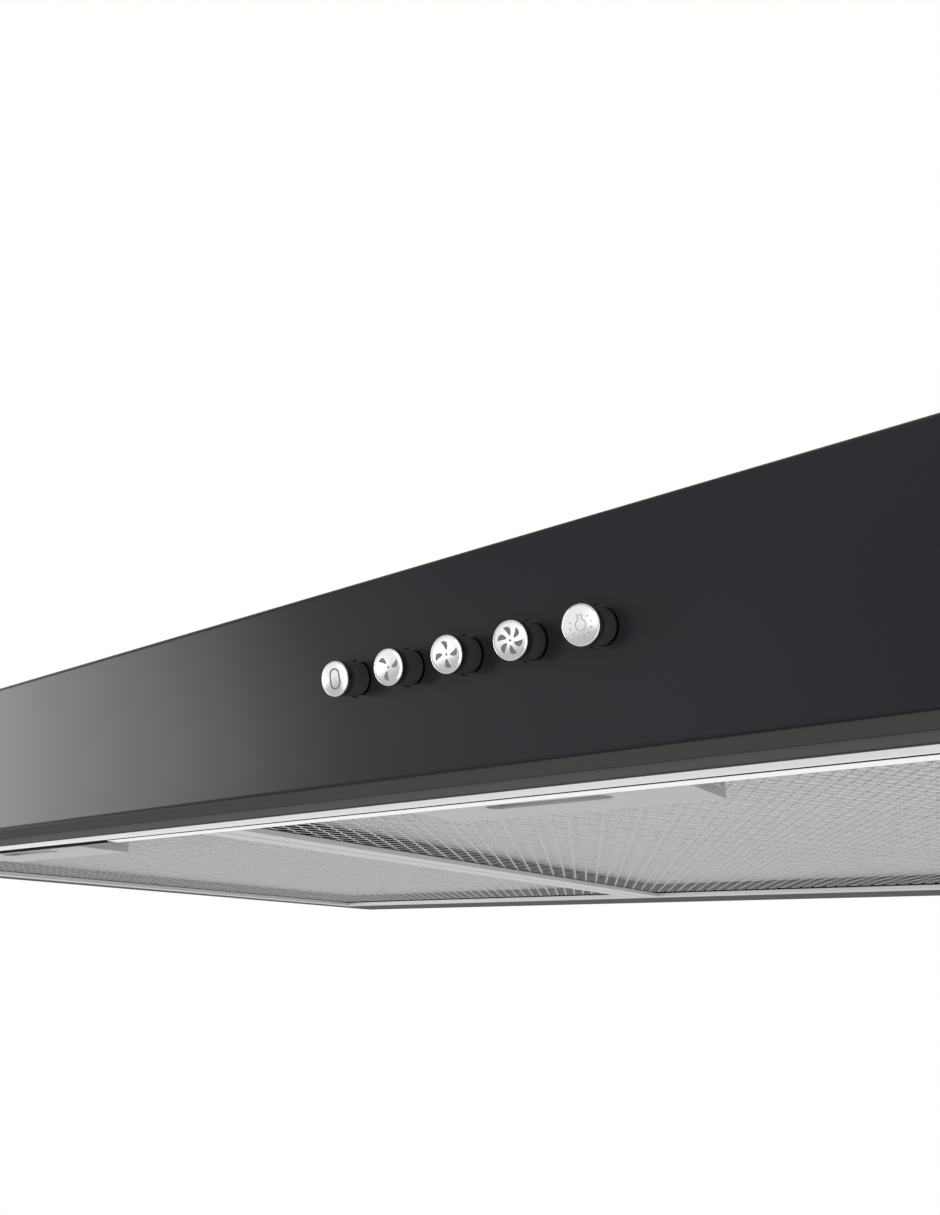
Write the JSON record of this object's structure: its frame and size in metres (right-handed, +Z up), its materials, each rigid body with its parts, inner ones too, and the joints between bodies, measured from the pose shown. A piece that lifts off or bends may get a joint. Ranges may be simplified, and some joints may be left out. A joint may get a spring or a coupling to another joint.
{
  "type": "under cabinet range hood",
  "caption": "Slim under cabinet range hood with a slanted black front, push buttons, a light strip, swing-down mesh filters, a centrifugal blower and a round top duct collar with damper flaps.",
  "frame": {"origin": "centre of the flat top face, which is the centre of the four cabinet screws", "axes": "+X to the hood's right as a cook faces it, +Y back towards the wall, +Z up"},
  "size_m": [0.9, 0.4832, 0.18],
  "materials": {
    "black_paint": "satin black powder coat",
    "panel_paint": "smooth black enamel with a soft gloss",
    "trim_aluminium": "satin anodised",
    "matt_black": "matt black",
    "circuit_board": "white solder mask",
    "diffuser": "opal white",
    "black_plastic": "moulded black",
    "button_plastic": "moulded black with a soft gloss",
    "cap_chrome": "bright, with a spun face",
    "zinc_steel": "zinc coated sheet",
    "screw_steel": "zinc plated",
    "latch_steel": "plain spring steel",
    "motor_steel": "grey lacquer",
    "capacitor_case": "drawn can",
    "grey_plastic": "moulded dark grey",
    "wheel_steel": "zinc coated sheet",
    "white_plastic": "moulded white",
    "rubber": "soft black",
    "filter_aluminium": "plain rolled sheet",
    "mesh_aluminium": "expanded sheet",
    "core_aluminium": "fine expanded layers"
  },
  "bodies": {
    "root": {"canopy": "black_paint", "canopy_slope": "black_paint", "side_left": "black_paint", "side_right": "black_paint", "back_panel": "black_paint", "front_panel": "panel_paint", "front_rail": "black_paint", "rear_rail": "black_paint", "light_trim": "trim_aluminium", "light_tray": "matt_black", "led_strip": "circuit_board", "light_diffuser": "diffuser", "switch_housing": "black_plastic", "switch_bracket": "zinc_steel", "scroll_housing": "grey_plastic", "inlet_cover": "zinc_steel", "inlet_mouth": "zinc_steel", "cover_screws": "screw_steel", "motor": "motor_steel", "motor_mounts": "rubber", "capacitor": "capacitor_case", "duct_collar": "zinc_steel", "collar_screws": "screw_steel", "damper_rod": "screw_steel", "cable_bushing": "black_plastic", "wiring_box": "zinc_steel", "terminal_block": "white_plastic", "led_driver": "white_plastic"},
    "button_stop": {"button_stop": "button_plastic", "cap_stop": "cap_chrome"},
    "button_low": {"button_low": "button_plastic", "cap_low": "cap_chrome"},
    "button_mid": {"button_mid": "button_plastic", "cap_mid": "cap_chrome"},
    "button_high": {"button_high": "button_plastic", "cap_high": "cap_chrome"},
    "button_light": {"button_light": "button_plastic", "cap_light": "cap_chrome"},
    "filter_left": {"filter_left_frame": "filter_aluminium", "filter_left_mesh": "mesh_aluminium", "filter_left_core": "core_aluminium", "filter_left_handle": "filter_aluminium"},
    "latch_left": {"filter_left_latch": "latch_steel"},
    "filter_middle": {"filter_middle_frame": "filter_aluminium", "filter_middle_mesh": "mesh_aluminium", "filter_middle_core": "core_aluminium", "filter_middle_handle": "filter_aluminium"},
    "latch_middle": {"filter_middle_latch": "latch_steel"},
    "filter_right": {"filter_right_frame": "filter_aluminium", "filter_right_mesh": "mesh_aluminium", "filter_right_core": "core_aluminium", "filter_right_handle": "filter_aluminium"},
    "latch_right": {"filter_right_latch": "latch_steel"},
    "fan": {"fan_wheel": "wheel_steel", "fan_blades": "wheel_steel", "fan_ring": "wheel_steel", "motor_shaft": "screw_steel", "wheel_nut": "screw_steel"},
    "damper_rear": {"damper_rear": "zinc_steel"},
    "damper_front": {"damper_front": "zinc_steel"}
  },
  "joints": [
    {"name": "stop_press", "type": "slide", "parent": "root", "child": "button_stop", "axis": [0, 0.9659, 0.2588], "range_m": [0, 0.004], "stiffness_N_per_m": 250, "springref_m": -0.003},
    {"name": "low_press", "type": "slide", "parent": "root", "child": "button_low", "axis": [0, 0.9659, 0.2588], "range_m": [0, 0.004], "stiffness_N_per_m": 250, "springref_m": -0.003},
    {"name": "mid_press", "type": "slide", "parent": "root", "child": "button_mid", "axis": [0, 0.9659, 0.2588], "range_m": [0, 0.004], "stiffness_N_per_m": 250, "springref_m": -0.003},
    {"name": "high_press", "type": "slide", "parent": "root", "child": "button_high", "axis": [0, 0.9659, 0.2588], "range_m": [0, 0.004], "stiffness_N_per_m": 250, "springref_m": -0.003},
    {"name": "light_press", "type": "slide", "parent": "root", "child": "button_light", "axis": [0, 0.9659, 0.2588], "range_m": [0, 0.004], "stiffness_N_per_m": 250, "springref_m": -0.003},
    {"name": "left_filter_swing", "type": "hinge", "parent": "root", "child": "filter_left", "pos_m": [-0.28933, 0.1185, -0.13], "axis": [1, 0, 0], "range_deg": [0, 35]},
    {"name": "left_latch_slide", "type": "slide", "parent": "filter_left", "child": "latch_left", "axis": [0, 1, 0], "range_m": [0, 0.0035], "stiffness_N_per_m": 400, "springref_m": -0.003},
    {"name": "middle_filter_swing", "type": "hinge", "parent": "root", "child": "filter_middle", "pos_m": [0, 0.1185, -0.13], "axis": [1, 0, 0], "range_deg": [0, 35]},
    {"name": "middle_latch_slide", "type": "slide", "parent": "filter_middle", "child": "latch_middle", "axis": [0, 1, 0], "range_m": [0, 0.0035], "stiffness_N_per_m": 400, "springref_m": -0.003},
    {"name": "right_filter_swing", "type": "hinge", "parent": "root", "child": "filter_right", "pos_m": [0.28933, 0.1185, -0.13], "axis": [1, 0, 0], "range_deg": [0, 35]},
    {"name": "right_latch_slide", "type": "slide", "parent": "filter_right", "child": "latch_right", "axis": [0, 1, 0], "range_m": [0, 0.0035], "stiffness_N_per_m": 400, "springref_m": -0.003},
    {"name": "fan_spin", "type": "hinge", "parent": "root", "child": "fan", "pos_m": [-0.199, -0.014, -0.057], "axis": [0, 0, 1], "continuous": true},
    {"name": "rear_damper_lift", "type": "hinge", "parent": "root", "child": "damper_rear", "pos_m": [0, 0.07, 0.022], "axis": [1, 0, 0], "range_deg": [0, 75]},
    {"name": "front_damper_lift", "type": "hinge", "parent": "root", "child": "damper_front", "pos_m": [0, 0.07, 0.022], "axis": [-1, 0, 0], "range_deg": [0, 75]}
  ]
}
